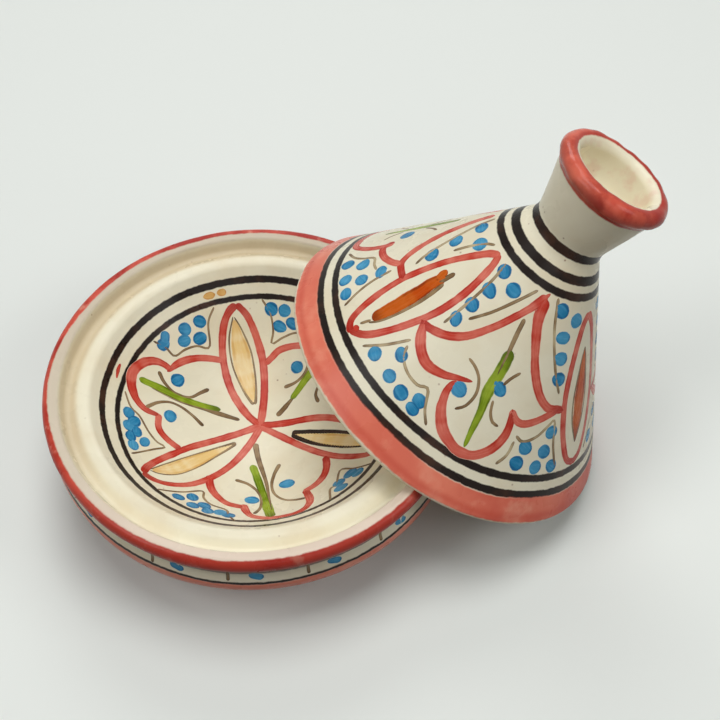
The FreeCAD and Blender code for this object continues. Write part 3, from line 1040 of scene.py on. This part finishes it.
LID_HEART_BROWN = [
    ([(-171, 61), (-171, 55)], 2.0),
    ([(-171, 28.5), (-172, 24.5)], 1.2),
    (
        [(-168.6, 56), (-166.9, 50), (-166.5, 44.5), (-167.2, 37), (-168.6, 31), (-170.5, 27.4)],
        [1.8, 1.5, 1.3, 1.1, 1.0, 0.8],
    ),
]
NEXT_HEART_BROWN = [
    ([(-57, 63), (-60.5, 55), (-62.5, 45), (-61, 36), (-57, 28)], 0.8),
    ([(-57, 63), (-53.5, 55), (-51.5, 45), (-53, 36), (-57, 28)], 0.8),
]
lid_brown = bmesh.new()
cone_strokes(lid_brown, LID_ARCH_BROWN, 270, tip=THIN_TIP)
cone_strokes(lid_brown, LID_ARCH_BROWN, 290, turn=HIDDEN_ARCH, tip=THIN_TIP)
cone_strokes(lid_brown, LID_BACK_BROWN, 310, tip=THIN_TIP)
cone_strokes(lid_brown, LID_BACK_BROWN, 320, mirror=BACK_MIDDLE, tip=THIN_TIP)
cone_strokes(lid_brown, LID_HEART_BROWN + NEXT_HEART_BROWN, 324, tip=THIN_TIP)
cone_strokes(lid_brown, NEXT_HEART_BROWN, 332, turn=HIDDEN_PETAL, tip=THIN_TIP)
painted("lid_brown_lines", lid_brown, roll_up, brown_slip, "lid")
lid_faint = bmesh.new()
cone_strokes(lid_faint, LID_CORNER_BROWN, 274, tip=THIN_TIP)
cone_strokes(lid_faint, LID_CORNER_BROWN, 294, turn=HIDDEN_ARCH, tip=THIN_TIP)
cone_strokes(lid_faint, LID_BACK_FAINT, 312, tip=THIN_TIP)
FAINT_BROWN = colour(142, 116, 82)
FAINT_THIN = colour(204, 186, 148)
FAINT_POOLED = colour(92, 66, 42)
faint_brown_slip = slip_paint("faint_brown_slip", FAINT_BROWN, FAINT_THIN, FAINT_POOLED, 0.9)
painted("lid_faint_lines", lid_faint, roll_up, faint_brown_slip, "lid")

LID_DABS = [
    (-123, 37), (-107.9, 44.3),
    (-150.5, 31.5), (-157.5, 24.3), (-147, 24), (-139.5, 23.3), (-132.5, 25.6), (-132.5, 21),
    (-74.5, 34.5), (-86, 28.7), (-76.3, 27.7), (-88, 23), (-79, 21.8), (-71, 22.3),
    (-150.5, 75), (-134, 73), (-146.5, 67.3), (-147, 60), (-147, 53),
    (-90, 75.5), (-72.5, 73), (-82, 67), (-79.5, 60), (-77.5, 53),
]
LID_DABS_BACK = [
    (-220, 42.7), (-204, 73.5), (-185, 72.3), (-197.5, 64.3), (-192.5, 55.3),
    (-193.5, 36), (-202.5, 28.8), (-193, 28.5), (-205.5, 22), (-196, 21), (-188.5, 21),
]
LID_DAB = 5.2
LID_DAB_SLANT = 1.3
LOWEST_DAB = 22.2
HIDDEN_DABS = [(turn + HIDDEN_ARCH, slant) for turn, slant in LID_DABS]
lid_blue = bmesh.new()
for seed, (turn, slant) in enumerate(LID_DABS + HIDDEN_DABS + LID_DABS_BACK):
    x, y = on_cone(turn, max(slant, LOWEST_DAB))
    dab(lid_blue, x, y, LID_DAB, seed + 350, math.atan2(y, x) + LID_DAB_SLANT)
painted("lid_blue_dabs", lid_blue, roll_up, blue_slip, "lid")

# ---------------------------------------------------------------------------------------------
# The set: a plain pale table that fades into a pale distance, soft lamps all round with the
# strongest one overhead, and the camera above the front of the dish.
# ---------------------------------------------------------------------------------------------
FLOOR_HALF = 3.0
FAR_PALE = colour(218, 222, 217)
FLOOR_SEEN = colour(235, 239, 234)
FLOOR_BOUNCE = colour(108, 106, 103)
FADE_FROM, FADE_TO = 0.35, 0.9
ROOM_GLOW = 0.03


def seen_directly(tree):
    """1 for what the camera meets, also in a gloss or through glass, and 0 for other light."""
    ray = tree.nodes.new("ShaderNodeLightPath").outputs
    seen = ray["Is Camera Ray"]
    for kind in ("Is Glossy Ray", "Is Transmission Ray"):
        either = tree.nodes.new("ShaderNodeMath")
        either.operation = "MAXIMUM"
        tree.links.new(seen, either.inputs[0])
        tree.links.new(ray[kind], either.inputs[1])
        seen = either.outputs[0]
    return seen


floor_bm = bmesh.new()
bmesh.ops.create_grid(floor_bm, x_segments=1, y_segments=1, size=FLOOR_HALF)
floor_mesh = bpy.data.meshes.new("floor")
floor_bm.to_mesh(floor_mesh)
floor_bm.free()
floor = bpy.data.objects.new("floor", floor_mesh)
bpy.context.scene.collection.objects.link(floor)
floor_look = Glaze("floor_look")
seen = seen_directly(floor_look.tree)
floor_tone = floor_look.mix(seen, FLOOR_BOUNCE, FLOOR_SEEN)
floor_look.put(floor_look.shader.inputs["Base Color"], floor_tone)
floor_look.shader.inputs["Roughness"].default_value = 0.6
floor_look.shader.inputs["Specular IOR Level"].default_value = 0.2
far_tone = floor_look.node("ShaderNodeEmission")
far_tone.inputs["Color"].default_value = FAR_PALE
away = floor_look.node("ShaderNodeVectorMath", operation="LENGTH")
floor_look.put(away.inputs[0], floor_look.place)
fade = floor_look.math("MULTIPLY", floor_look.ramp(away.outputs["Value"], FADE_FROM, FADE_TO), seen)
joined = floor_look.node("ShaderNodeMixShader")
floor_look.put(joined.inputs[0], fade)
floor_look.put(joined.inputs[1], floor_look.shader.outputs[0])
floor_look.put(joined.inputs[2], far_tone.outputs[0])
floor_look.put(floor_look.tree.nodes["Material Output"].inputs["Surface"], joined.outputs[0])
floor_mesh.materials.append(floor_look.material)

world = bpy.data.worlds.new("soft_room")
world.use_nodes = True
air = world.node_tree
still = air.nodes["Background"]
still.inputs["Color"].default_value = (1.0, 1.0, 1.0, 1.0)
still.inputs["Strength"].default_value = ROOM_GLOW
pale = air.nodes.new("ShaderNodeBackground")
pale.inputs["Color"].default_value = FAR_PALE
joined = air.nodes.new("ShaderNodeMixShader")
air.links.new(seen_directly(air), joined.inputs[0])
air.links.new(still.outputs[0], joined.inputs[1])
air.links.new(pale.outputs[0], joined.inputs[2])
air.links.new(joined.outputs[0], air.nodes["World Output"].inputs["Surface"])
bpy.context.scene.world = world

# Each lamp: its name, the way round and up that it stands in degrees, its size and its power
LIGHT_TARGET = Vector((0.03, 0.0, 0.04))
LIGHT_DISTANCE = 1.5
SOFT_LIGHTS = [
    ("top", 60.0, 84.0, 0.9, 9.6),
    ("left", 190.0, 48.0, 0.8, 5.8),
    ("back", 85.0, 44.0, 0.7, 5.2),
    ("right", 335.0, 36.0, 0.8, 4.6),
    ("front", 280.0, 46.0, 0.9, 2.3),
]
for name, turn, rise, size, power in SOFT_LIGHTS:
    light = bpy.data.lights.new(name, "AREA")
    light.shape = "DISK"
    light.size = size
    light.energy = power
    lamp = bpy.data.objects.new(name, light)
    bpy.context.scene.collection.objects.link(lamp)
    reach = LIGHT_DISTANCE * math.cos(math.radians(rise))
    height = LIGHT_DISTANCE * math.sin(math.radians(rise))
    across = Vector((math.cos(math.radians(turn)), math.sin(math.radians(turn)), 0.0))
    way = across * reach + Vector((0.0, 0.0, height))
    lamp.location = LIGHT_TARGET + way
    lamp.rotation_euler = way.to_track_quat("Z", "Y").to_euler()

SENSOR_WIDTH = 36.0
LENS = 60.03
CAMERA_PLACE = (-0.002681, -0.266406, 0.381535)
CAMERA_RIGHT = Vector((0.98525, -0.17062, -0.01319))
CAMERA_UP = Vector((0.14118, 0.76684, 0.62612))
CAMERA_BACK = CAMERA_RIGHT.cross(CAMERA_UP)
camera_data = bpy.data.cameras.new("camera")
camera_data.sensor_width = SENSOR_WIDTH
camera_data.lens = LENS
camera = bpy.data.objects.new("camera", camera_data)
bpy.context.scene.collection.objects.link(camera)
turned = Matrix((CAMERA_RIGHT, CAMERA_UP, CAMERA_BACK)).transposed().to_4x4()
camera.matrix_world = Matrix.Translation(CAMERA_PLACE) @ turned
bpy.context.scene.camera = camera
bpy.context.scene.view_settings.view_transform = "Standard"
